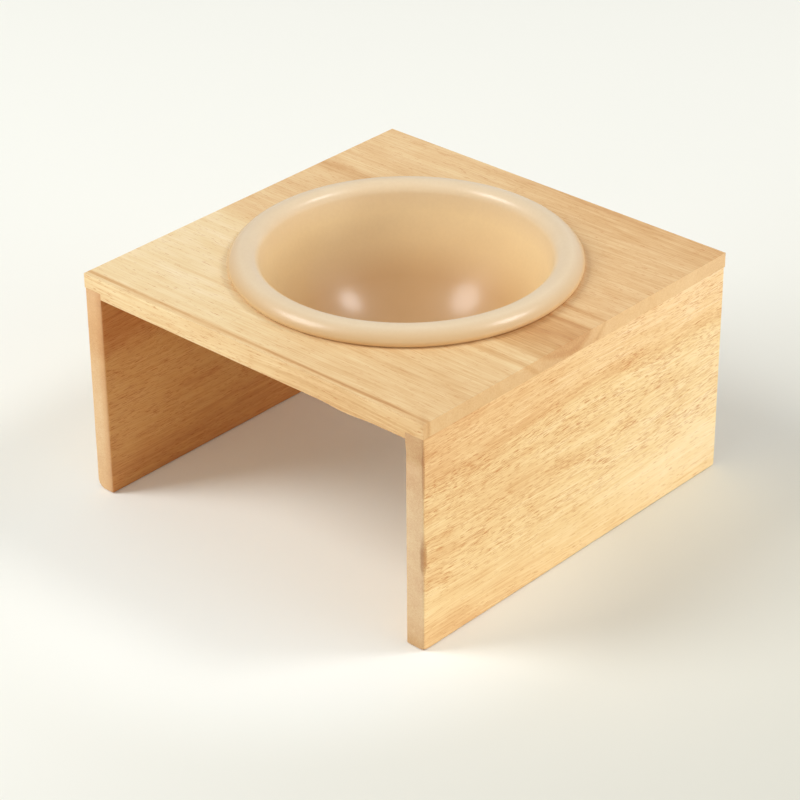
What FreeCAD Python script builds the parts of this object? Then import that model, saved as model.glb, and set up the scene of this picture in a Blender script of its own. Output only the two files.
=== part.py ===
import FreeCAD, Part
import math
import os

# Pet bowl stand: three boards glued into an upside-down U, with a glazed bowl dropped into a hole in the top.
# Millimetres. The origin is on the floor under the middle of the stand, X to the right, Y to the back, Z up.

# Boards
stand_width = 200.0
stand_depth = 202.0
stand_height = 110.0
top_thickness = 10.0
side_thickness = 10.0
rebate_depth = 3.0            # how far each side board is let into the underside of the top
edge_round = 1.0              # arrises eased by hand after the glue has set

# Dowels hidden in the two joints
dowel_diameter = 6.0
dowel_length = 20.0
dowel_in_top = 4.5            # length of a dowel that stands in the top board
dowel_end_inset = 28.0        # from the front and back edges to the outer dowels
dowel_chamfer = 0.8
dowel_flutes = 12
flute_radius = 0.4
dowel_fit = 0.05              # gap round a dowel, filled with glue
dowel_glue_room = 0.5         # gap over the upper end of a dowel

# Bowl
rim_diameter = 158.0
rim_height = 7.5              # crest of the rim over the top board
rim_edge_radius = 2.2         # outer edge of the rim
rim_shoulder = 8.0            # from the crest of the rim out to its edge
lip_radius = 6.0              # roll from the crest into the bowl
inside_depth = 62.5           # from the crest to the inside floor
bottom_slope = 64.0           # degrees, where the round bottom runs into the wall
wall_slope = 80.0             # degrees, where the wall runs into the lip
bowl_wall = 4.5
neck_fillet = 1.5             # under the rim, where it meets the wall
foot_diameter = 58.0
foot_width = 5.0
foot_height = 2.5             # from the bowl's underside down to the foot
foot_round = 0.8
bowl_fit = 1.5                # gap between the bowl's neck and the hole

# Levels and places of the boards and dowels
half_width = stand_width / 2
half_depth = stand_depth / 2
inner_half = half_width - side_thickness
underside = stand_height - top_thickness
joint_level = underside + rebate_depth
dowel_row = half_width - side_thickness / 2
dowel_foot = joint_level + dowel_in_top - dowel_length
dowel_head = dowel_foot + dowel_length
outer_dowel = half_depth - dowel_end_inset
dowel_places = {"front": -outer_dowel, "middle": 0.0, "rear": outer_dowel}

# The inside of the bowl has a round bottom, a gently curved wall and the lip, each tangent to the next.
# The radii of the bottom and the wall follow from how far out and how high the lip has to be.
rim_radius = rim_diameter / 2
crest_radius = rim_radius - rim_shoulder
crest_level = stand_height + rim_height
floor_level = crest_level - inside_depth
bottom_turn = math.radians(bottom_slope)
wall_turn = math.radians(wall_slope)
bottom_out = math.sin(bottom_turn)
bottom_up = 1 - math.cos(bottom_turn)
wall_out = math.sin(wall_turn) - bottom_out
wall_up = math.cos(bottom_turn) - math.cos(wall_turn)
lip_start = crest_radius - lip_radius * math.sin(wall_turn)
lip_rise = inside_depth - lip_radius * (1 - math.cos(wall_turn))
shares = bottom_out * wall_up - bottom_up * wall_out
bottom_radius = (lip_start * wall_up - lip_rise * wall_out) / shares
wall_radius = (lip_rise * bottom_out - lip_start * bottom_up) / shares
bottom_middle = floor_level + bottom_radius
wall_centre = (bottom_radius - wall_radius) * bottom_out
wall_middle = bottom_middle + (wall_radius - bottom_radius) * math.cos(bottom_turn)
bottom_outside = bottom_radius + bowl_wall
wall_outside = wall_radius + bowl_wall

# The shoulder falls from the crest into the rounded edge, and the edge ends in the flat seat
edge_reach = rim_shoulder - rim_edge_radius
shoulder_turn = 2 * math.atan2(rim_height - 2 * rim_edge_radius, edge_reach)
shoulder_radius = edge_reach / math.sin(shoulder_turn) + rim_edge_radius

# The fillet under the seat touches the outside wall, and the hole in the top clears it
fillet_drop = wall_middle - stand_height + neck_fillet
fillet_reach = math.sqrt((wall_outside + neck_fillet) ** 2 - fillet_drop ** 2)
fillet_turn = math.atan2(fillet_drop, fillet_reach)
seat_radius = wall_centre + fillet_reach
hole_radius = seat_radius + bowl_fit

# The foot is a turned ring under the round bottom
base_level = floor_level - bowl_wall
foot_level = base_level - foot_height
foot_radius = foot_diameter / 2
foot_inner_radius = foot_radius - foot_width


def box_between(low, high):
    """Box with the given lowest and highest corners."""
    size = FreeCAD.Vector(*high) - FreeCAD.Vector(*low)
    return Part.makeBox(size.x, size.y, size.z, FreeCAD.Vector(*low))


def upright(radius, bottom, top, x=0.0, y=0.0):
    """Cylinder that stands at x, y between two levels."""
    return Part.makeCylinder(radius, top - bottom, FreeCAD.Vector(x, y, bottom))


def is_inner_corner(edge):
    """True for the two edges where the underside of the top meets the side boards."""
    middle = edge.CenterOfMass
    return abs(abs(middle.x) - inner_half) < edge_round and abs(middle.z - underside) < edge_round


def make_glued_stand():
    """The three boards as one block, eased along every arris and holed for the bowl."""
    stand = box_between((-half_width, -half_depth, 0), (half_width, half_depth, stand_height))
    stand = stand.cut(box_between((-inner_half, -half_depth, 0), (inner_half, half_depth, underside)))
    stand = stand.makeFillet(edge_round, [edge for edge in stand.Edges if not is_inner_corner(edge)])
    stand = stand.cut(upright(hole_radius, underside, stand_height))
    return stand.makeFillet(edge_round, [edge for edge in stand.Edges if edge.isClosed()])


def side_space(side):
    """Space that one side board fills, up to its rebate in the top: side is -1 for left, 1 for right."""
    across = sorted((side * inner_half, side * half_width))
    return box_between((across[0], -half_depth, 0), (across[1], half_depth, joint_level))


def dowel_holes(side):
    """The blind holes of one joint, bored into the side board and the top in line."""
    radius = dowel_diameter / 2 + dowel_fit
    top = dowel_head + dowel_glue_room
    holes = [upright(radius, dowel_foot, top, side * dowel_row, y) for y in dowel_places.values()]
    return Part.makeCompound(holes)


def make_dowel(x, y):
    """Fluted hardwood dowel with chamfered ends."""
    radius = dowel_diameter / 2
    dowel = upright(radius, dowel_foot, dowel_head, x, y)
    dowel = dowel.makeChamfer(dowel_chamfer, [edge for edge in dowel.Edges if edge.isClosed()])
    for flute in range(dowel_flutes):
        turn = 2 * math.pi * flute / dowel_flutes
        groove = (x + radius * math.cos(turn), y + radius * math.sin(turn))
        dowel = dowel.cut(upright(flute_radius, dowel_foot, dowel_head, *groove))
    return dowel


def section_arc(radius, level, arc_radius, start, end):
    """Arc in the bowl's section about a centre at a radius and level, from one angle to another."""
    def at(angle):
        return FreeCAD.Vector(radius + arc_radius * math.cos(angle), 0, level + arc_radius * math.sin(angle))
    return Part.Arc(at(start), at((start + end) / 2), at(end)).toShape()


def make_bowl():
    """Bowl with a broad rolled rim, a smooth round inside and a turned foot."""
    up = math.pi / 2
    slope = bottom_turn - up
    shoulder_end = up - shoulder_turn
    bottom = section_arc(0, bottom_middle, bottom_radius, -up, slope)
    wall = section_arc(wall_centre, wall_middle, wall_radius, slope, wall_turn - up)
    lip = section_arc(crest_radius, crest_level - lip_radius, lip_radius, up + wall_turn, up)
    shoulder = section_arc(crest_radius, crest_level - shoulder_radius, shoulder_radius, up, shoulder_end)
    edge_middle = rim_radius - rim_edge_radius
    edge = section_arc(edge_middle, stand_height + rim_edge_radius, rim_edge_radius, shoulder_end, -up)
    seat = Part.makeLine(edge.Vertexes[-1].Point, FreeCAD.Vector(seat_radius, 0, stand_height))
    fillet = section_arc(seat_radius, stand_height - neck_fillet, neck_fillet, up, math.pi - fillet_turn)
    outer_wall = section_arc(wall_centre, wall_middle, wall_outside, -fillet_turn, slope)
    outer_turn = -math.acos(foot_radius / bottom_outside)
    inner_turn = -math.acos(foot_inner_radius / bottom_outside)
    outer_bottom = section_arc(0, bottom_middle, bottom_outside, slope, outer_turn)
    underneath = section_arc(0, bottom_middle, bottom_outside, inner_turn, -up)
    foot_corners = [
        outer_bottom.Vertexes[-1].Point,
        FreeCAD.Vector(foot_radius, 0, foot_level),
        FreeCAD.Vector(foot_inner_radius, 0, foot_level),
        underneath.Vertexes[0].Point,
    ]
    foot = Part.makePolygon(foot_corners).Edges
    middle = Part.makeLine(underneath.Vertexes[-1].Point, bottom.Vertexes[0].Point)
    upper = [bottom, wall, lip, shoulder, edge, seat]
    section = Part.Wire(upper + [fillet, outer_wall, outer_bottom] + foot + [underneath, middle])
    bowl = Part.Face(section).revolve(FreeCAD.Vector(0, 0, 0), FreeCAD.Vector(0, 0, 1), 360)
    rings = [ring for ring in bowl.Edges if ring.isClosed()]
    foot_rings = [ring for ring in rings if ring.BoundBox.ZMax < base_level - foot_round]
    return bowl.makeFillet(foot_round, foot_rings)


def make_pieces():
    """Every piece of the stand under its own name."""
    stand = make_glued_stand()
    pieces = {"top_board": stand, "bowl": make_bowl()}
    for side, name in ((-1, "left"), (1, "right")):
        holes = dowel_holes(side)
        pieces[name + "_side_board"] = stand.common(side_space(side)).cut(holes)
        pieces["top_board"] = pieces["top_board"].cut(side_space(side)).cut(holes)
        for place, y in dowel_places.items():
            pieces[name + "_" + place + "_dowel"] = make_dowel(side * dowel_row, y)
    return pieces


os.makedirs("parts", exist_ok=True)
for node, shape in make_pieces().items():
    solid = shape.Solids[0]
    solid.exportStep("parts/" + node + ".step")
    print(node, "solids", len(shape.Solids), "valid", solid.isValid(), "volume", round(solid.Volume, 1))
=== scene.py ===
import bmesh
import bpy
import math
from mathutils import Matrix, Vector, noise


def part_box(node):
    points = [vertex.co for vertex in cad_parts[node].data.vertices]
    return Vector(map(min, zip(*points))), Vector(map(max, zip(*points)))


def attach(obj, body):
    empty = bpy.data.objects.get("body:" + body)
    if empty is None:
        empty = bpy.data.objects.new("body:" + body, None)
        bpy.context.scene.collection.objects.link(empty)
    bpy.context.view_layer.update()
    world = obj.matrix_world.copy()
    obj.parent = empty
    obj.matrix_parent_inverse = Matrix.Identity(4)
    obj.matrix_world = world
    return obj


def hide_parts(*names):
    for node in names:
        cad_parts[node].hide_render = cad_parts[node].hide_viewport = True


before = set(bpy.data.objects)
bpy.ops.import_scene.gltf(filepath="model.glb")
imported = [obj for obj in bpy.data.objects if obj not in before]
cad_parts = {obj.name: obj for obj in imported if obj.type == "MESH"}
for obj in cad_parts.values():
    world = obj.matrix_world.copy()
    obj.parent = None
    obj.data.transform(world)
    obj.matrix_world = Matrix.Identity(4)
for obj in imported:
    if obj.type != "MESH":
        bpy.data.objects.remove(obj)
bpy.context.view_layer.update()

# Pet bowl stand: three oiled rubberwood boards glued into an upside-down U, and a glazed bowl in the top
# Metres, in the frame of the CAD: X from the left board to the right one, Y from front to back, Z up
mm = 0.001
topLow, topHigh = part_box("top_board")
sideLow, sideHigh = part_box("right_side_board")
innerHalf = sideLow.x          # inner faces of the side boards
underside = topLow.z           # underside of the top board
jointLevel = sideHigh.z        # bottom of the rebates in the top, where the side boards end
touch = 0.01 * mm              # levels this close count as one
weld = 0.002 * mm              # points this close are merged
sharpTurn = 1.0                # faces that turn more than this, in radians, meet in an arris
levelFace = 0.99               # least upright share of a level face's normal
smoothTurn = math.radians(35)  # faces that turn less than this are shaded as one


def srgb(code):
    channels = [int(code[at:at + 2], 16) / 255 for at in (1, 3, 5)]
    linear = [c / 12.92 if c <= 0.04045 else ((c + 0.055) / 1.055) ** 2.4 for c in channels]
    return (*linear, 1.0)


def addNode(tree, kind, inputs=None, stops=None, **settings):
    node = tree.nodes.new(kind)
    for name, value in settings.items():
        setattr(node, name, value)
    for key, value in (inputs or {}).items():
        if isinstance(value, bpy.types.NodeSocket):
            tree.links.new(value, node.inputs[key])
        else:
            node.inputs[key].default_value = value
    if stops:
        elements = node.color_ramp.elements
        while len(elements) < len(stops):
            elements.new(1.0)
        for element, (place, colour) in zip(elements, stops):
            element.position = place
            element.color = colour
    return node


def newMaterial(name):
    material = bpy.data.materials.new(name)
    material.use_nodes = True
    material.node_tree.nodes.clear()
    return material, material.node_tree


def near(a, b):
    return abs(a - b) < touch


def finishPiece(bm, name, materials):
    bmesh.ops.remove_doubles(bm, verts=bm.verts, dist=weld)
    bmesh.ops.recalc_face_normals(bm, faces=bm.faces)
    mesh = bpy.data.meshes.new(name)
    bm.to_mesh(mesh)
    bm.free()
    mesh.shade_smooth()
    mesh.set_sharp_from_angle(angle=smoothTurn)
    piece = bpy.data.objects.new(name, mesh)
    bpy.context.scene.collection.objects.link(piece)
    for material in materials:
        mesh.materials.append(material)
    print("built", name, len(mesh.polygons), "faces")
    return piece


# Boards: the arrises are eased by hand, so they wander, die out in the inner corners and carry a few knocks
edges = {
    "pointSpacing": 2.0 * mm,      # points along each arris
    "ease": 1.0 * mm,              # usual radius of an eased arris
    "easeLimits": (0.1, 3.0),      # least and most of it
    "segments": 4,
    "wander": ((16.0, 0.16), (5.0, 0.08)),    # length in mm and share of the radius
    # low spot on the front edge of the top: place, reach and drop in mm
    "sag": ((57, -101, 100), 15.0, 0.8),
    "cornerReach": 6.0 * mm,       # sandpaper doesn't get into the inner corners
    "jointChamfer": 0.12 * mm,     # fine line where two boards meet
    "stainDepth": 0.95,            # share of a quarter round that takes stain, with none on the flat faces
    "tinyEdge": 0.005 * mm,        # shorter edges are merged away before the joint faces are filled
    # place in mm, reach along the arris in mm, extra easing, stain
    "knocks": [
        ((100, -101, 47), 11.0, 1.5, 0.6),      # splinter gone from the front right arris
        ((100, -101, 41), 4.0, 0.6, 0.6),
        ((100, -101, 30), 6.0, 0.5, 0.0),
        ((100, -101, 88), 18.0, 0.2, 0.45),     # rubbed dark under the top corner
        ((100, -101, 110), 3.0, 0.6, 0.2),
        ((-100, -101, 0), 4.0, 1.6, 0.2),       # foot of the left board
        ((100, -101, 0), 3.0, 0.7, 0.3),
        ((63, -101, 100), 9.0, -0.7, 0.0),      # proud spot on the lower front arris
        ((38, -101, 100), 12.0, 0.5, 0.0),
    ],
}


def easeAt(point):
    share = 1.0
    for length, amount in edges["wander"]:
        share += amount * noise.noise(point / (length * mm))
    stain = 0.0
    for place, reach, extra, mark in edges["knocks"]:
        far = (point - Vector(place) * mm).length / (reach * mm)
        if far < 1:
            fall = (1 - far * far) ** 2
            share += extra * fall
            stain = max(stain, mark * fall)
    corner = math.hypot(abs(point.x) - innerHalf, point.z - underside) / edges["cornerReach"]
    if corner < 1:
        share *= corner * corner * (3 - 2 * corner)
    least, most = edges["easeLimits"]
    return min(max(share, least), most), stain


# A quarter round shrinks or grows about the sharp corner it came from, so the faces beside it stay flat
def easeArrises(bm, planes, side=1):
    worn = bm.verts.layers.float.new("worn")
    for vert in bm.verts:
        sharp = vert.co.copy()
        count = 0
        for axis, levels in enumerate(planes):
            for level in levels:
                if abs(vert.co[axis] - level) < edges["ease"] + touch:
                    sharp[axis] = level
                    count += 1
        if count > 1:
            share, stain = easeAt(Vector((sharp.x * side, sharp.y, sharp.z)))
            depth = (vert.co - sharp).length / edges["ease"]
            vert.co = sharp + (vert.co - sharp) * share
            vert[worn] = stain if depth < edges["stainDepth"] else 0.0


def bevelEdges(bm, chosen, offset, segments):
    bmesh.ops.bevel(bm, geom=chosen, offset=offset, offset_type="OFFSET", segments=segments,
                    profile=0.5, affect="EDGES", clamp_overlap=True, material=-1)


dowelBores = {
    "radius": 3.05 * mm, "row": 95 * mm, "places": (-73 * mm, 0, 73 * mm),
    "foot": 87.5 * mm, "head": 108 * mm, "segments": 24,
}


# Each joint face is filled again round its blind dowel holes
def boreJoint(bm, side, end):
    row = dowelBores["row"] * side

    def isJointFace(face):
        middle = face.calc_center_median()
        return abs(face.normal.z) > levelFace and near(middle.z, jointLevel) and middle.x * side > 0

    flat = [face for face in bm.faces if isJointFace(face)]
    outline = [edge for edge in {edge for face in flat for edge in face.edges}
               if sum(face in flat for face in edge.link_faces) == 1]
    bmesh.ops.delete(bm, geom=flat, context="FACES")
    rings = []
    for place in dowelBores["places"]:
        ring = bmesh.ops.create_circle(bm, segments=dowelBores["segments"], radius=dowelBores["radius"],
                                       matrix=Matrix.Translation((row, place, jointLevel)))["verts"]
        rings.append(list({edge for vert in ring for edge in vert.link_edges}))
    bmesh.ops.triangle_fill(bm, edges=outline + sum(rings, []), use_beauty=True, use_dissolve=False)
    for ring in rings:
        wall = bmesh.ops.extrude_edge_only(bm, edges=ring)["geom"]
        moved = [part for part in wall if isinstance(part, bmesh.types.BMVert)]
        bmesh.ops.translate(bm, verts=moved, vec=(0, 0, end - jointLevel))
        bottom = [part for part in wall if isinstance(part, bmesh.types.BMEdge)
                  and all(near(vert.co.z, end) for vert in part.verts)]
        bmesh.ops.edgeloop_fill(bm, edges=bottom)


def splitEvenly(bm, chosen):
    for edge in chosen:
        cuts = round(edge.calc_length() / edges["pointSpacing"]) - 1
        if cuts > 0:
            bmesh.ops.bisect_edges(bm, edges=[edge], cuts=cuts)


# Both side boards are made as the right one, and the left one is then mirrored
def makeSideBoard(name, side, material):
    bm = bmesh.new()
    bmesh.ops.create_cube(bm, size=1)
    bmesh.ops.scale(bm, verts=bm.verts, vec=sideHigh - sideLow)
    bmesh.ops.translate(bm, verts=bm.verts, vec=(sideLow + sideHigh) / 2)
    bmesh.ops.bisect_plane(bm, geom=bm.verts[:] + bm.edges[:] + bm.faces[:], plane_co=(0, 0, underside),
                           plane_no=(0, 0, 1))

    def isJoint(edge):
        low = min(vert.co.z for vert in edge.verts)
        inner = all(near(vert.co.x, innerHalf) for vert in edge.verts)
        return near(low, jointLevel) or (inner and low > underside - touch)

    def isArris(edge):
        return edge.calc_face_angle(0) > sharpTurn and not isJoint(edge)

    def isRim(edge):
        innerTop = all(near(vert.co.x, innerHalf) and near(vert.co.z, jointLevel) for vert in edge.verts)
        under = all(near(vert.co.z, underside) for vert in edge.verts)
        return edge.calc_face_angle(0) > sharpTurn and isJoint(edge) and not innerTop and not under

    splitEvenly(bm, [edge for edge in bm.edges if isArris(edge)])
    bevelEdges(bm, [edge for edge in bm.edges if isArris(edge)], edges["ease"], edges["segments"])
    easeArrises(bm, ((sideLow.x, sideHigh.x), (sideLow.y, sideHigh.y), (sideLow.z,)), side)
    bevelEdges(bm, [edge for edge in bm.edges if isRim(edge)], edges["jointChamfer"], 1)
    boreJoint(bm, 1, dowelBores["foot"])
    if side < 0:
        bmesh.ops.scale(bm, verts=bm.verts, vec=(-1, 1, 1))
    return finishPiece(bm, name, [material])


bowlHole = {"radius": 71.92 * mm, "points": 400}


def makeTopBoard(material):
    bm = bmesh.new()
    square = bmesh.ops.create_grid(bm, x_segments=1, y_segments=1, size=1)["verts"]
    bmesh.ops.delete(bm, geom=bm.faces[:], context="FACES_ONLY")
    bmesh.ops.scale(bm, verts=square, vec=(topHigh.x, topHigh.y, 1))
    bmesh.ops.bisect_edges(bm, edges=bm.edges[:], cuts=bowlHole["points"] // 4 - 1)
    bmesh.ops.create_circle(bm, segments=bowlHole["points"], radius=bowlHole["radius"])
    bmesh.ops.bridge_loops(bm, edges=bm.edges[:])
    bmesh.ops.translate(bm, verts=bm.verts, vec=(0, 0, topHigh.z))
    for side in (-1, 1):
        bmesh.ops.bisect_plane(bm, geom=bm.verts[:] + bm.edges[:] + bm.faces[:],
                               plane_co=(innerHalf * side, 0, 0), plane_no=(1, 0, 0))
    # down to the joints everywhere, then down to the underside between them
    lower = bmesh.ops.extrude_face_region(bm, geom=bm.faces[:])["geom"]
    bmesh.ops.translate(bm, verts=[part for part in lower if isinstance(part, bmesh.types.BMVert)],
                        vec=(0, 0, jointLevel - topHigh.z))
    middle = [part for part in lower if isinstance(part, bmesh.types.BMFace)
              and abs(part.calc_center_median().x) < innerHalf]
    lower = bmesh.ops.extrude_face_region(bm, geom=middle)["geom"]
    bmesh.ops.translate(bm, verts=[part for part in lower if isinstance(part, bmesh.types.BMVert)],
                        vec=(0, 0, underside - jointLevel))
    bmesh.ops.delete(bm, geom=middle, context="FACES")
    bmesh.ops.recalc_face_normals(bm, faces=bm.faces)

    def lies(edge, axis, level):
        return all(near(abs(vert.co[axis]), level) for vert in edge.verts)

    def isArris(edge):
        if edge.calc_face_angle(0) < sharpTurn:
            return False
        long = lies(edge, 2, topHigh.z) or (lies(edge, 2, underside) and not lies(edge, 0, innerHalf))
        return long or (lies(edge, 0, topHigh.x) and lies(edge, 1, topHigh.y))

    bevelEdges(bm, [edge for edge in bm.edges if isArris(edge)], edges["ease"], edges["segments"])
    easeArrises(bm, ((topLow.x, topHigh.x), (topLow.y, topHigh.y), (topLow.z, topHigh.z)))
    place, reach, drop = edges["sag"]
    for vert in bm.verts:
        far = (vert.co - Vector(place) * mm).length / (reach * mm)
        if far < 1 and vert.co.z < jointLevel:
            vert.co.z -= drop * mm * (1 - far * far) ** 2
    bmesh.ops.remove_doubles(bm, verts=bm.verts, dist=edges["tinyEdge"])
    boreJoint(bm, -1, dowelBores["head"])
    boreJoint(bm, 1, dowelBores["head"])
    return finishPiece(bm, "topBoard", [material])


# Rubberwood, planed, sanded and clear oiled: straw and pinkish bands along the board, cloudy mottling, fine
# fibre lines and many short dark pore dashes that turn to dots on the sawn ends; a soft satin sheen
woodGrain = {
    # length and width of the figure in mm, detail, share of the tone; real fibres are too fine to show,
    # so lines and fibres are drawn 0.5 to 1 mm wide
    "streak": (150.0, 3.2, 2.0, 0.30),
    "cloud": (17.0, 7.0, 3.0, 0.34),
    "line": (90.0, 0.9, 1.0, 0.40),
    "fibre": (22.0, 0.55, 1.0, 0.30),
}
woodWander = {"size": (140.0, 36.0), "shift": 5.0}     # slow bends of the bands, in mm
# pores: length and width in mm, a little over the real 0.2 mm so that they show, and size of the patches
woodPore = {
    "size": (4.4, 0.24), "patch": (24.0, 9.0), "patchShares": (0.35, 1.25),
    "rare": 0.74, "dense": 0.55, "soft": 0.07, "colour": "#bb6404", "strength": 0.62,
}
woodFinish = {
    "flush": "#f6e0d8", "rubbed": "#c08f60",     # tints of the pinkish bands and of rubbed arrises
    "endFacing": (0.5, 0.9),                     # a face turns into a sawn end between these slants
    "roughness": (0.46, 0.60), "ior": 1.45, "relief": 0.2, "reliefDepth": 0.08 * mm,
}
noiseSpread = (0.3, 0.7)       # noise seldom leaves this range

# Places of bands and end tones are in mm across the board, or from the centre of the rings where it has one
# Near and far bands run from dark 0 to pale 1, and pore and flush bands from none to full
topLook = {
    "turn": (0, 0, 0),
    "endAxis": "X",
    "endTones": [(-101, "#d2a772"), (-60, "#cda06b"), (-30, "#cc9d69"), (-18, "#bf8c5b"),
                 (2, "#c39261"), (14, "#dab27f"), (48, "#dfb884"), (101, "#e5c496")],
    "endShare": 0.5,
    "span": (-101.0, 101.0),
    "ring": (-9.0, 128.0),           # centre of the rings at the right end, across the board and up
    "ends": (-60.0, 60.0),           # the two sets of bands mix between these places along the board
    "nearBands": [(-101, 0.64), (-99.5, 0.64), (-96, 0.78), (-60, 0.85), (-20, 0.83), (-11, 0.64),
                  (20, 0.64), (44, 0.62), (51, 0.34), (56, 0.58), (80, 0.62), (101, 0.58)],
    "farBands": [(0, 0.24), (19, 0.24), (22, 0.36), (24.5, 0.22), (27, 0.56), (31, 0.54), (32.5, 0.26),
                 (34.5, 0.56), (60, 0.50), (92, 0.54), (96, 0.42), (110, 0.36), (200, 0.36)],
    "poreBands": [(-101, 0.30), (-97, 0.05), (-40, 0.08), (0, 0.2), (101, 0.2)],
    "flushBands": [(-101, 0.0), (-20, 0.0), (-8, 0.25), (40, 0.2), (101, 0.15)],
    "tones": [(0.0, "#b98450"), (0.25, "#d1a26a"), (0.45, "#e1ba84"), (0.6, "#e9c793"),
              (0.78, "#f0d5a3"), (1.0, "#f8e2ba")],
    "innerFaceShade": None,
    "edgeStreak": (-97.8, 1.7, 0.75),     # place, half width and depth of a dark streak
    "seed": 3.0,
}
rightLook = {
    "turn": (-90, -90, 0),
    "endAxis": "Y",
    "endTones": [(0, "#b28c66"), (7, "#c1a284"), (30, "#caae94"), (60, "#d0b79c"), (88, "#c5a485"),
                 (92, "#a98260"), (103, "#ae8866")],
    "endShare": 0.5,
    "span": (0.0, 103.0),
    "ring": None,
    "ends": (-101.0, 101.0),
    "nearBands": [(0, 0.46), (8, 0.49), (12, 0.53), (15, 0.57), (18, 0.54), (30, 0.55), (55, 0.54),
                  (76, 0.54), (80, 0.46), (83, 0.48), (86, 0.54), (94, 0.52), (103, 0.50)],
    "farBands": [(0, 0.74), (9, 0.76), (12, 0.80), (15, 0.84), (20, 0.82), (30, 0.78), (55, 0.71),
                 (76, 0.68), (80, 0.55), (83, 0.59), (90, 0.74), (103, 0.78)],
    "poreBands": [(0, 0.4), (12, 0.1), (22, 0.25), (34, 0.8), (78, 1.0), (86, 0.7), (103, 0.7)],
    "flushBands": [(0, 0.1), (10, 0.1), (20, 0.0), (78, 0.0), (84, 0.3), (98, 0.4), (103, 0.4)],
    "tones": [(0.0, "#b98450"), (0.25, "#d3a065"), (0.45, "#e2b87f"), (0.6, "#eccb92"),
              (0.78, "#f4d9a6"), (1.0, "#fae6bf")],
    "innerFaceShade": None,
    "edgeStreak": None,
    "seed": 11.0,
}
leftLook = {
    "turn": (-90, -90, 0),
    "endAxis": "Y",
    "endTones": [(0, "#deb98d"), (30, "#d8b088"), (60, "#d3a87e"), (76, "#d09f6e"), (90, "#dfb483"),
                 (103, "#dfb78a")],
    "endShare": 0.5,
    "span": (0.0, 103.0),
    "ring": None,
    "ends": (-101.0, 101.0),
    # from 82 mm up, next to the top, the bands drop low: partly the wood's own tone, partly painted shade
    # under the top
    "nearBands": [(0, 0.42), (10, 0.48), (30, 0.70), (50, 0.67), (70, 0.60), (82, 0.33), (88, 0.36),
                  (103, 0.36)],
    "farBands": [(0, 0.35), (20, 0.42), (40, 0.33), (66, 0.41), (85, 0.31), (103, 0.33)],
    "poreBands": [(0, 0.5), (40, 0.7), (80, 0.8), (103, 0.6)],
    "flushBands": [(0, 0.2), (30, 0.1), (70, 0.1), (90, 0.3), (103, 0.3)],
    "tones": [(0.0, "#b98450"), (0.25, "#d3a065"), (0.45, "#e0b680"), (0.6, "#eac891"),
              (0.78, "#f2d6a4"), (1.0, "#f9e4bd")],
    # the inner face, shaded by the top and the boards round it, is tinted darker and redder: painted shade
    "innerFaceShade": (-94.5, -90.5, "#e6c49c"),
    "edgeStreak": None,
    "seed": 29.0,
}
dowelLook = {
    "turn": (0, 90, 0),
    "endAxis": "Z",
    "endTones": [(-100, "#b98f62"), (100, "#b98f62")],
    "endShare": 0.4,
    "span": (-100.0, 100.0),
    "ring": None,
    "ends": (-110.0, -80.0),
    "nearBands": [(-100, 0.4), (100, 0.5)],
    "farBands": [(-100, 0.5), (100, 0.4)],
    "poreBands": [(-100, 0.4), (100, 0.4)],
    "flushBands": [(-100, 0.3), (100, 0.3)],
    "tones": [(0.0, "#a9794f"), (0.45, "#cfa77c"), (1.0, "#e3c49c")],
    "innerFaceShade": None,
    "edgeStreak": None,
    "seed": 41.0,
}


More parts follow.
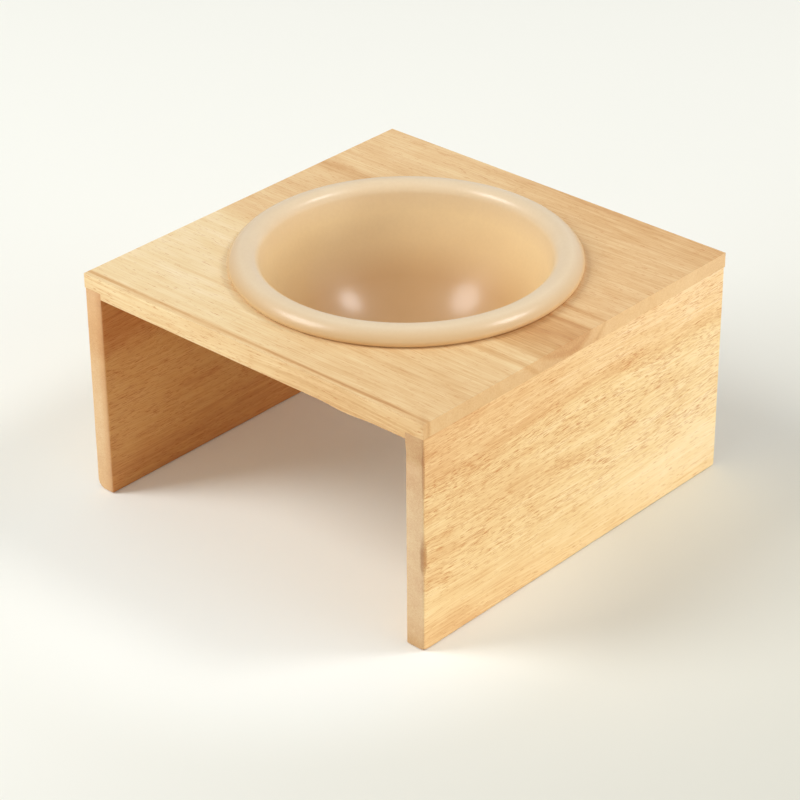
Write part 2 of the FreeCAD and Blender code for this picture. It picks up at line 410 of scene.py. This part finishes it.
def woodMaterial(name, look):
    material, tree = newMaterial(name)
    place = addNode(tree, "ShaderNodeTexCoord")
    turn = [math.radians(angle) for angle in look["turn"]]
    grain = addNode(tree, "ShaderNodeMapping", {"Vector": place.outputs["Object"], "Rotation": turn,
                                                "Scale": (1 / mm, 1 / mm, 1 / mm)})
    # bend the bands slowly along the board
    along, across = woodWander["size"]
    slow = addNode(tree, "ShaderNodeMapping", {"Vector": grain.outputs[0], "Location": (look["seed"], 0, 0),
                                               "Scale": (1 / along, 1 / across, 1 / across)})
    slow = addNode(tree, "ShaderNodeTexNoise", {"Vector": slow.outputs[0], "Scale": 1.0, "Detail": 1.0})
    shift = addNode(tree, "ShaderNodeVectorMath", {0: slow.outputs[1], 1: (0.5, 0.5, 0.5)},
                    operation="SUBTRACT")
    bend = woodWander["shift"] * 2
    shift = addNode(tree, "ShaderNodeVectorMath", {0: shift.outputs[0], 1: (0, bend, bend)},
                    operation="MULTIPLY")
    bent = addNode(tree, "ShaderNodeVectorMath", {0: grain.outputs[0], 1: shift.outputs[0]},
                   operation="ADD").outputs[0]
    parts = addNode(tree, "ShaderNodeSeparateXYZ", {0: bent})
    acrossBoard = parts.outputs["Y"]
    # bands at the two ends of the board, how thick the pores lie and where the wood is pinkish
    low, high = look["span"]
    farPlace, farLow, farHigh = acrossBoard, low, high
    if look["ring"]:
        centre = (0, *look["ring"])
        spoke = addNode(tree, "ShaderNodeVectorMath", {0: bent, 1: centre}, operation="SUBTRACT")
        spoke = addNode(tree, "ShaderNodeVectorMath", {0: spoke.outputs[0], 1: (0, 1, 1)},
                        operation="MULTIPLY")
        spoke = addNode(tree, "ShaderNodeVectorMath", {0: spoke.outputs[0]}, operation="LENGTH")
        farPlace = spoke.outputs["Value"]
        farLow, farHigh = look["farBands"][0][0], look["farBands"][-1][0]
    bands = {}
    for band, where, start, end in (("nearBands", acrossBoard, low, high),
                                    ("farBands", farPlace, farLow, farHigh),
                                    ("poreBands", acrossBoard, low, high),
                                    ("flushBands", acrossBoard, low, high)):
        level = addNode(tree, "ShaderNodeMapRange", {0: where, 1: start, 2: end, 3: 0.0, 4: 1.0})
        stops = [((at - start) / (end - start), (tone, tone, tone, 1)) for at, tone in look[band]]
        bands[band] = addNode(tree, "ShaderNodeValToRGB", {0: level.outputs[0]}, stops=stops).outputs[0]
    nearEnd, farEnd = look["ends"]
    mixEnds = addNode(tree, "ShaderNodeMapRange", {0: parts.outputs["X"], 1: nearEnd, 2: farEnd,
                                                   3: 0.0, 4: 1.0}, interpolation_type="SMOOTHSTEP")
    tone = addNode(tree, "ShaderNodeMix", {0: mixEnds.outputs[0], 2: bands["nearBands"],
                                           3: bands["farBands"]}).outputs[0]
    # streaks, clouds, long lines and fibres on top of the bands
    layers = {}
    for layer, (along, across, detail, amount) in woodGrain.items():
        fine = addNode(tree, "ShaderNodeMapping", {"Vector": bent, "Location": (0, look["seed"], 0),
                                                   "Scale": (1 / along, 1 / across, 1 / across)})
        layers[layer] = addNode(tree, "ShaderNodeTexNoise", {"Vector": fine.outputs[0], "Scale": 1.0,
                                                             "Detail": detail}).outputs[0]
        spread = addNode(tree, "ShaderNodeMath", {0: layers[layer], 1: 0.5}, operation="SUBTRACT")
        tone = addNode(tree, "ShaderNodeMath", {0: spread.outputs[0], 1: amount, 2: tone},
                       operation="MULTIPLY_ADD").outputs[0]
    if look["edgeStreak"]:
        middle, width, depth = look["edgeStreak"]
        straight = addNode(tree, "ShaderNodeSeparateXYZ", {0: grain.outputs[0]})
        off = addNode(tree, "ShaderNodeMath", {0: straight.outputs["Y"], 1: middle}, operation="SUBTRACT")
        off = addNode(tree, "ShaderNodeMath", {0: off.outputs[0]}, operation="ABSOLUTE")
        streak = addNode(tree, "ShaderNodeMapRange", {0: off.outputs[0], 1: 0.0, 2: width, 3: depth, 4: 0.0},
                         interpolation_type="SMOOTHSTEP")
        streak = addNode(tree, "ShaderNodeMath", {0: streak.outputs[0], 1: layers["cloud"]},
                         operation="MULTIPLY")
        tone = addNode(tree, "ShaderNodeMath", {0: tone, 1: streak.outputs[0]},
                       operation="SUBTRACT").outputs[0]
    colour = addNode(tree, "ShaderNodeValToRGB", {0: tone},
                     stops=[(at, srgb(code)) for at, code in look["tones"]]).outputs[0]
    flush = srgb(woodFinish["flush"])
    colour = addNode(tree, "ShaderNodeMix", {0: bands["flushBands"], 6: colour, 7: flush},
                     data_type="RGBA", blend_type="MULTIPLY").outputs[2]
    # pores, long along the grain, thick in some patches and few in others
    along, across = woodPore["size"]
    cell = addNode(tree, "ShaderNodeMapping", {"Vector": bent, "Scale": (1 / along, 1 / across, 1 / across)})
    pore = addNode(tree, "ShaderNodeTexNoise", {"Vector": cell.outputs[0], "Scale": 1.0, "Detail": 0.0})
    along, across = woodPore["patch"]
    patch = addNode(tree, "ShaderNodeMapping", {"Vector": bent, "Location": (0, 0, look["seed"]),
                                                "Scale": (1 / along, 1 / across, 1 / across)})
    patch = addNode(tree, "ShaderNodeTexNoise", {"Vector": patch.outputs[0], "Scale": 1.0, "Detail": 1.0})
    fewest, thickest = woodPore["patchShares"]
    patch = addNode(tree, "ShaderNodeMapRange", {0: patch.outputs[0], 1: noiseSpread[0], 2: noiseSpread[1],
                                                 3: fewest, 4: thickest})
    many = addNode(tree, "ShaderNodeMath", {0: patch.outputs[0], 1: bands["poreBands"]},
                   operation="MULTIPLY")
    least = addNode(tree, "ShaderNodeMapRange", {0: many.outputs[0], 1: 0.0, 2: 1.0, 3: woodPore["rare"],
                                                 4: woodPore["dense"]})
    most = addNode(tree, "ShaderNodeMath", {0: least.outputs[0], 1: woodPore["soft"]}, operation="ADD")
    dash = addNode(tree, "ShaderNodeMapRange", {0: pore.outputs[0], 1: least.outputs[0], 2: most.outputs[0],
                                                3: 0.0, 4: 1.0}, interpolation_type="SMOOTHSTEP")
    poreFill = addNode(tree, "ShaderNodeMath", {0: dash.outputs[0], 1: woodPore["strength"]},
                       operation="MULTIPLY")
    colour = addNode(tree, "ShaderNodeMix", {0: poreFill.outputs[0], 6: colour, 7: srgb(woodPore["colour"])},
                     data_type="RGBA").outputs[2]
    # painted shade: the left board's inner face is multiplied darker and redder over its last 4 mm
    if look["innerFaceShade"]:
        outer, inner, tint = look["innerFaceShade"]
        depth = addNode(tree, "ShaderNodeSeparateXYZ", {0: place.outputs["Object"]})
        innerFaceShade = addNode(tree, "ShaderNodeMapRange", {0: depth.outputs["X"], 1: outer * mm, 2: inner * mm,
                                                     3: 0.0, 4: 1.0})
        colour = addNode(tree, "ShaderNodeMix", {0: innerFaceShade.outputs[0], 6: colour, 7: srgb(tint)},
                         data_type="RGBA", blend_type="MULTIPLY").outputs[2]
    # sawn ends are duller, and rubbed arrises darken
    facing = addNode(tree, "ShaderNodeSeparateXYZ", {0: place.outputs["Normal"]})
    facing = addNode(tree, "ShaderNodeMath", {0: facing.outputs[look["endAxis"]]}, operation="ABSOLUTE")
    turned, square = woodFinish["endFacing"]
    endFace = addNode(tree, "ShaderNodeMapRange", {0: facing.outputs[0], 1: turned, 2: square,
                                                   3: 0.0, 4: look["endShare"]},
                      interpolation_type="SMOOTHSTEP")
    level = addNode(tree, "ShaderNodeMapRange", {0: acrossBoard, 1: low, 2: high, 3: 0.0, 4: 1.0})
    sawn = addNode(tree, "ShaderNodeValToRGB", {0: level.outputs[0]},
                   stops=[((at - low) / (high - low), srgb(code)) for at, code in look["endTones"]])
    colour = addNode(tree, "ShaderNodeMix", {0: endFace.outputs[0], 6: colour, 7: sawn.outputs[0]},
                     data_type="RGBA").outputs[2]
    rubbed = addNode(tree, "ShaderNodeAttribute", attribute_name="worn")
    colour = addNode(tree, "ShaderNodeMix", {0: rubbed.outputs["Fac"], 6: colour,
                                             7: srgb(woodFinish["rubbed"])},
                     data_type="RGBA", blend_type="MULTIPLY").outputs[2]
    # fibres and pores in the relief, and the streaks in the sheen
    relief = addNode(tree, "ShaderNodeMath", {0: dash.outputs[0], 1: -1.0, 2: layers["fibre"]},
                     operation="MULTIPLY_ADD")
    bump = addNode(tree, "ShaderNodeBump", {"Height": relief.outputs[0], "Strength": woodFinish["relief"],
                                            "Distance": woodFinish["reliefDepth"]})
    smooth, rough = woodFinish["roughness"]
    sheen = addNode(tree, "ShaderNodeMapRange", {0: layers["streak"], 1: noiseSpread[0], 2: noiseSpread[1],
                                                 3: smooth, 4: rough})
    shader = addNode(tree, "ShaderNodeBsdfPrincipled", {"Base Color": colour, "Roughness": sheen.outputs[0],
                                                        "IOR": woodFinish["ior"], "Normal": bump.outputs[0]})
    addNode(tree, "ShaderNodeOutputMaterial", {"Surface": shader.outputs[0]})
    return material


# Bowl: the section is drawn as one chain of lines and arcs in mm, then turned on the lathe
bowlShape = {
    "rimRadius": 79.0, "rimHeight": 7.5, "rimEdge": 2.2, "shoulder": 8.0, "lip": 6.0,
    "insideDepth": 62.5, "bottomSlope": 64.0, "wallSlope": 80.0, "wall": 4.5, "neckFillet": 1.5,
    "footRadius": 29.0, "footWidth": 5.0, "footHeight": 2.5, "footRound": 0.8,
    "glazeWave": 0.06, "glazeWaveLength": 26.0,      # height and length of the glaze's unevenness
    "seatClear": 0.5, "neckClear": 3.0,              # the glaze is even this near the seat and the neck
    "wiped": 0.35,                                   # height of the bare ground face of the foot
    "turnSteps": 192, "bottomSteps": 18, "wallSteps": 14, "lipSteps": 12, "shoulderSteps": 10,
    "edgeSteps": 12, "neckSteps": 6, "haunchSteps": 6, "footSteps": 4, "underSteps": 8,
}


def makeBowl(materials):
    s = bowlShape
    seat = topHigh.z / mm
    crestRadius = s["rimRadius"] - s["shoulder"]
    crest = seat + s["rimHeight"]
    floor = crest - s["insideDepth"]
    # round bottom, gently curved wall and lip run into each other, which gives the two larger radii
    low, high = math.radians(s["bottomSlope"]), math.radians(s["wallSlope"])
    lowOut, lowUp = math.sin(low), 1 - math.cos(low)
    highOut, highUp = math.sin(high) - lowOut, math.cos(low) - math.cos(high)
    lipOut = crestRadius - s["lip"] * math.sin(high)
    lipUp = s["insideDepth"] - s["lip"] * (1 - math.cos(high))
    shares = lowOut * highUp - lowUp * highOut
    bottom = (lipOut * highUp - lipUp * highOut) / shares
    wall = (lipUp * lowOut - lipOut * lowUp) / shares
    bottomLevel = floor + bottom
    wallCentre = (bottom - wall) * lowOut
    wallLevel = bottomLevel + (wall - bottom) * math.cos(low)
    # shoulder of the rim, neck under it and foot
    reach = s["shoulder"] - s["rimEdge"]
    shoulderTurn = 2 * math.atan2(s["rimHeight"] - 2 * s["rimEdge"], reach)
    shoulder = reach / math.sin(shoulderTurn) + s["rimEdge"]
    drop = wallLevel - seat + s["neckFillet"]
    neckReach = math.sqrt((wall + s["wall"] + s["neckFillet"]) ** 2 - drop ** 2)
    neck = wallCentre + neckReach
    neckTurn = math.atan2(drop, neckReach)
    under = bottom + s["wall"]
    footEnd = floor - s["wall"] - s["footHeight"]
    footInner = s["footRadius"] - s["footWidth"]
    outerTurn = math.acos(s["footRadius"] / under)
    innerTurn = math.acos(footInner / under)
    half = math.pi / 2
    bm = bmesh.new()
    tip = bm.verts.new((0, 0, floor))

    def lineTo(radius, level):
        made = bmesh.ops.extrude_vert_indiv(bm, verts=[tip])["verts"]
        made[0].co = (radius, 0, level)
        return made[0]

    def arcAbout(radius, level, turn, steps):
        made = bmesh.ops.spin(bm, geom=[tip], cent=(radius, 0, level), axis=(0, -1, 0), angle=turn,
                              steps=steps)
        return [part for part in made["geom_last"] if isinstance(part, bmesh.types.BMVert)][0]

    tip = arcAbout(0, bottomLevel, low, s["bottomSteps"])
    tip = arcAbout(wallCentre, wallLevel, high - low, s["wallSteps"])
    tip = arcAbout(crestRadius, crest - s["lip"], -high, s["lipSteps"])
    tip = arcAbout(crestRadius, crest - shoulder, -shoulderTurn, s["shoulderSteps"])
    edgeMiddle = s["rimRadius"] - s["rimEdge"]
    tip = arcAbout(edgeMiddle, seat + s["rimEdge"], shoulderTurn - math.pi, s["edgeSteps"])
    tip = lineTo(neck, seat)
    tip = arcAbout(neck, seat - s["neckFillet"], half - neckTurn, s["neckSteps"])
    tip = arcAbout(wallCentre, wallLevel, neckTurn - half + low, s["wallSteps"])
    tip = arcAbout(0, bottomLevel, half - low - outerTurn, s["haunchSteps"])
    tip = lineTo(s["footRadius"], footEnd + s["footRound"])
    tip = arcAbout(s["footRadius"] - s["footRound"], footEnd + s["footRound"], -half, s["footSteps"])
    tip = lineTo(footInner + s["footRound"], footEnd)
    tip = arcAbout(footInner + s["footRound"], footEnd + s["footRound"], -half, s["footSteps"])
    tip = lineTo(footInner, bottomLevel - under * math.sin(innerTurn))
    tip = arcAbout(0, bottomLevel, innerTurn - half, s["underSteps"])
    bmesh.ops.spin(bm, geom=bm.verts[:] + bm.edges[:], cent=(0, 0, 0), axis=(0, 0, 1), angle=2 * math.pi,
                   steps=s["turnSteps"], use_merge=True)
    bmesh.ops.remove_doubles(bm, verts=bm.verts, dist=weld / mm)
    bmesh.ops.recalc_face_normals(bm, faces=bm.faces)
    bm.normal_update()
    for vert in bm.verts:      # the glaze lies a little unevenly
        inside = math.hypot(vert.co.x, vert.co.y) < neck - s["neckClear"]
        if inside or vert.co.z > seat + s["seatClear"]:
            vert.co += vert.normal * s["glazeWave"] * noise.noise(vert.co / s["glazeWaveLength"])
    for face in bm.faces:      # the foot's ground face is wiped bare
        if face.calc_center_median().z < footEnd + s["wiped"]:
            face.material_index = 1
    bmesh.ops.scale(bm, verts=bm.verts, vec=(mm, mm, mm))
    return finishPiece(bm, "glazedBowl", materials)


# Satin glaze on stoneware, dipped and fired: warm beige, painted darker towards the bottom as painted shade,
# faintly clouded; a broad sheen under a thin glossier skin gives highlights with a soft halo
glazeLook = {
    "levels": (55.0, 118.0),       # inside floor and crest, in mm
    # painted shade and light: the tones darken from the upper walls down to the bottom, and the same ramp
    # darkens the outside towards the foot
    "tones": [(55, "#c29664"), (64, "#cda26e"), (78, "#d3a76f"), (92, "#ebca94"), (104, "#f1d5a2"),
              (112, "#ead0a5"), (117, "#e5cfad")],
    # the rim's outer flank, where the glaze ran off: radii in mm and tint
    "flank": (73.5, 78.5, "#e8d8c2"),
    # clouds and flecks: size in mm, detail, most of the tint, tint
    "mottle": {"cloud": (34.0, 3.0, 0.22, "#dcbb8c"), "fleck": (1.6, 2.0, 0.06, "#c9a678")},
    "mottleSpread": (0.35, 0.65),
    "roughness": (0.42, 0.47), "ior": 1.5, "skin": 0.6, "skinRoughness": 0.22,
    "relief": 0.03, "reliefDepth": 0.1 * mm,
}


def glazeMaterial():
    material, tree = newMaterial("satin beige glaze, dipped and fired")
    place = addNode(tree, "ShaderNodeTexCoord").outputs["Object"]
    low, high = glazeLook["levels"]
    height = addNode(tree, "ShaderNodeSeparateXYZ", {0: place})
    height = addNode(tree, "ShaderNodeMapRange", {0: height.outputs["Z"], 1: low * mm, 2: high * mm,
                                                  3: 0.0, 4: 1.0})
    # painted shade: the glaze colour follows height, darkest at the bottom
    stops = [((at - low) / (high - low), srgb(code)) for at, code in glazeLook["tones"]]
    colour = addNode(tree, "ShaderNodeValToRGB", {0: height.outputs[0]}, stops=stops).outputs[0]
    inner, outer, tint = glazeLook["flank"]
    radius = addNode(tree, "ShaderNodeVectorMath", {0: place, 1: (1, 1, 0)}, operation="MULTIPLY")
    radius = addNode(tree, "ShaderNodeVectorMath", {0: radius.outputs[0]}, operation="LENGTH")
    flank = addNode(tree, "ShaderNodeMapRange", {0: radius.outputs["Value"], 1: inner * mm, 2: outer * mm,
                                                 3: 0.0, 4: 1.0})
    colour = addNode(tree, "ShaderNodeMix", {0: flank.outputs[0], 6: colour, 7: srgb(tint)},
                     data_type="RGBA", blend_type="MULTIPLY").outputs[2]
    noises = {}
    least, most = glazeLook["mottleSpread"]
    for layer, (size, detail, amount, tint) in glazeLook["mottle"].items():
        scaled = addNode(tree, "ShaderNodeMapping", {"Vector": place, "Scale": (1 / (size * mm),) * 3})
        noises[layer] = addNode(tree, "ShaderNodeTexNoise", {"Vector": scaled.outputs[0], "Scale": 1.0,
                                                             "Detail": detail}).outputs[0]
        share = addNode(tree, "ShaderNodeMapRange", {0: noises[layer], 1: least, 2: most, 3: 0.0, 4: amount})
        colour = addNode(tree, "ShaderNodeMix", {0: share.outputs[0], 6: colour, 7: srgb(tint)},
                         data_type="RGBA").outputs[2]
    smooth, rough = glazeLook["roughness"]
    sheen = addNode(tree, "ShaderNodeMapRange", {0: noises["cloud"], 1: noiseSpread[0], 2: noiseSpread[1],
                                                 3: smooth, 4: rough})
    bump = addNode(tree, "ShaderNodeBump", {"Height": noises["fleck"], "Strength": glazeLook["relief"],
                                            "Distance": glazeLook["reliefDepth"]})
    shader = addNode(tree, "ShaderNodeBsdfPrincipled", {"Base Color": colour, "Roughness": sheen.outputs[0],
                                                        "IOR": glazeLook["ior"], "Normal": bump.outputs[0],
                                                        "Coat Weight": glazeLook["skin"],
                                                        "Coat Roughness": glazeLook["skinRoughness"]})
    addNode(tree, "ShaderNodeOutputMaterial", {"Surface": shader.outputs[0]})
    return material


# Bare stoneware, wiped and ground flat: matt, sandy, with fine dark grit
biscuitLook = {
    "grit": 0.7 * mm, "tones": [(0.3, "#b7a189"), (0.55, "#d8c7b0"), (0.75, "#e3d6c3")],
    "roughness": 0.9, "ior": 1.5, "relief": 0.4, "reliefDepth": 0.15 * mm,
}


def biscuitMaterial():
    material, tree = newMaterial("bare stoneware, ground flat")
    place = addNode(tree, "ShaderNodeTexCoord")
    grit = addNode(tree, "ShaderNodeMapping", {"Vector": place.outputs["Object"],
                                               "Scale": (1 / biscuitLook["grit"],) * 3})
    grit = addNode(tree, "ShaderNodeTexNoise", {"Vector": grit.outputs[0], "Scale": 1.0, "Detail": 3.0})
    colour = addNode(tree, "ShaderNodeValToRGB", {0: grit.outputs[0]},
                     stops=[(at, srgb(code)) for at, code in biscuitLook["tones"]])
    bump = addNode(tree, "ShaderNodeBump", {"Height": grit.outputs[0], "Strength": biscuitLook["relief"],
                                            "Distance": biscuitLook["reliefDepth"]})
    shader = addNode(tree, "ShaderNodeBsdfPrincipled", {"Base Color": colour.outputs[0],
                                                        "Roughness": biscuitLook["roughness"],
                                                        "IOR": biscuitLook["ior"],
                                                        "Normal": bump.outputs[0]})
    addNode(tree, "ShaderNodeOutputMaterial", {"Surface": shader.outputs[0]})
    return material


topWood = woodMaterial("rubberwood top, sanded and oiled", topLook)
leftWood = woodMaterial("rubberwood left side, sanded and oiled", leftLook)
rightWood = woodMaterial("rubberwood right side, sanded and oiled", rightLook)
topBoard = makeTopBoard(topWood)
leftBoard = makeSideBoard("leftSideBoard", -1, leftWood)
rightBoard = makeSideBoard("rightSideBoard", 1, rightWood)
bowl = makeBowl([glazeMaterial(), biscuitMaterial()])
for piece, node, body, slot in (
    (topBoard, "top_board", "stand", "rubberwood"),
    (leftBoard, "left_side_board", "stand", "rubberwood"),
    (rightBoard, "right_side_board", "stand", "rubberwood"),
    (bowl, "bowl", "bowl", "satin_glaze"),
):
    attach(piece, body)
    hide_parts(node)

dowelWood = woodMaterial("beech dowel, turned and fluted", dowelLook)
for node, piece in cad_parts.items():
    if node.endswith("_dowel"):
        for slot in piece.material_slots:
            slot.material = dowelWood
print("dressed the dowels")

# Studio: a pale seamless paper floor, a softbox to the left and one to the right, and three cards that fill
studio = {
    "floorSize": 12.0, "floorDrop": 0.2 * mm,
    # the paper is painted darker from left to right as painted light falloff, and paler under the stand's
    # open front as a painted pool of light: centre, radii and tone
    "paintedFloorFalloff": [(-0.10, "#f6f6ee"), (0.30, "#dbdacf")],
    "paintedFloorPool": ((0, -0.08, 0), 0.07, 0.17, "#fdfffa"),
    "fill": ((132, 15), 0.24, 0.66),       # brightest from this side: angles, least and most
    "fillHeights": (1.45, 0.70),           # shares of it from the walls and from straight above
    "lampAim": (0, 0, 0.05),
    # angles in degrees, distance and size in metres, power in watts, and whether the glaze mirrors the lamp
    "lamps": {
        "leftSoftbox": ((-46, 48), 3.2, (1.4, 1.2), 36.0, True),
        "rightSoftbox": ((131, 51), 1.6, (0.42, 0.42), 5.9, True),
        "leftCard": ((-42, 29), 3.2, (1.4, 1.0), 25.0, False),
        "frontCard": ((8, 14), 3.2, (1.4, 0.8), 13.0, False),
        "rightCard": ((110, 7), 2.4, (2.0, 0.6), 21.0, False),
    },
}


# Angles go round from the front towards the right, and up from the floor
def direction(around, height):
    around, height = math.radians(around), math.radians(height)
    flat = math.cos(height)
    return Vector((math.sin(around) * flat, -math.cos(around) * flat, math.sin(height)))


bm = bmesh.new()
bmesh.ops.create_grid(bm, x_segments=8, y_segments=8, size=studio["floorSize"] / 2,
                      matrix=Matrix.Translation((0, 0, -studio["floorDrop"])))
paper, tree = newMaterial("seamless paper")
place = addNode(tree, "ShaderNodeTexCoord")
across = addNode(tree, "ShaderNodeSeparateXYZ", {0: place.outputs["Object"]})
# painted light falloff: the paper darkens from left to right
(low, lowTone), (high, highTone) = studio["paintedFloorFalloff"]
across = addNode(tree, "ShaderNodeMapRange", {0: across.outputs["X"], 1: low, 2: high, 3: 0.0, 4: 1.0},
                 interpolation_type="SMOOTHSTEP")
tint = addNode(tree, "ShaderNodeValToRGB", {0: across.outputs[0]},
               stops=[(0.0, srgb(lowTone)), (1.0, srgb(highTone))])
# painted light: a paler pool of paper under and before the stand's open front
centre, full, end, paintedPoolTone = studio["paintedFloorPool"]
reach = addNode(tree, "ShaderNodeVectorMath", {0: place.outputs["Object"], 1: centre}, operation="DISTANCE")
pale = addNode(tree, "ShaderNodeMapRange", {0: reach.outputs["Value"], 1: full, 2: end, 3: 1.0, 4: 0.0},
               interpolation_type="SMOOTHSTEP")
tint = addNode(tree, "ShaderNodeMix", {0: pale.outputs[0], 6: tint.outputs[0], 7: srgb(paintedPoolTone)},
               data_type="RGBA")
matt = addNode(tree, "ShaderNodeBsdfDiffuse", {"Color": tint.outputs[2]})
addNode(tree, "ShaderNodeOutputMaterial", {"Surface": matt.outputs[0]})
floor = finishPiece(bm, "floor", [paper])

for name, (angles, distance, size, power, mirrored) in studio["lamps"].items():
    light = bpy.data.lights.new(name, "AREA")
    light.shape = "ELLIPSE"
    light.size, light.size_y = size
    light.energy = power
    holder = bpy.data.objects.new(name, light)
    bpy.context.scene.collection.objects.link(holder)
    holder.visible_glossy = mirrored
    towards = direction(*angles)
    holder.location = towards * distance + Vector(studio["lampAim"])
    holder.rotation_euler = towards.to_track_quat("Z", "Y").to_euler()

world = bpy.data.worlds.new("studio fill")
bpy.context.scene.world = world
world.use_nodes = True
tree = world.node_tree
tree.nodes.clear()
side, least, most = studio["fill"]
walls, above = studio["fillHeights"]
view = addNode(tree, "ShaderNodeTexCoord").outputs["Generated"]
height = addNode(tree, "ShaderNodeSeparateXYZ", {0: view})
height = addNode(tree, "ShaderNodeMapRange", {0: height.outputs["Z"], 1: 0.0, 2: 1.0, 3: walls, 4: above})
sky = addNode(tree, "ShaderNodeVectorMath", {0: view, 1: direction(*side)}, operation="DOT_PRODUCT")
sky = addNode(tree, "ShaderNodeMapRange", {0: sky.outputs["Value"], 1: -1.0, 2: 1.0, 3: least, 4: most})
sky = addNode(tree, "ShaderNodeMath", {0: sky.outputs[0], 1: height.outputs[0]}, operation="MULTIPLY")
sky = addNode(tree, "ShaderNodeBackground", {"Color": (1, 1, 1, 1), "Strength": sky.outputs[0]})
addNode(tree, "ShaderNodeOutputWorld", {"Surface": sky.outputs[0]})

# Camera, at the photograph's viewing angle
shot = {
    "around": 42.301, "height": 29.917, "roll": -0.442, "lens": 131.68, "sensor": 36, "distance": 1.34855,
    "aim": (-0.01407, 0.01062, 0.03011),
}
camera = bpy.data.objects.new("camera", bpy.data.cameras.new("camera"))
bpy.context.scene.collection.objects.link(camera)
bpy.context.scene.camera = camera
camera.data.sensor_width = shot["sensor"]
camera.data.lens = shot["lens"]
away = direction(shot["around"], shot["height"])
level = Vector((-away.y, away.x, 0)).normalized()
turned = Matrix((level, away.cross(level), away)).transposed()
turned = turned @ Matrix.Rotation(math.radians(shot["roll"]), 3, "Z")
camera.matrix_world = Matrix.Translation(Vector(shot["aim"]) + away * shot["distance"]) @ turned.to_4x4()

bpy.context.scene.view_settings.view_transform = "Standard"
print("lit the studio and set the camera")
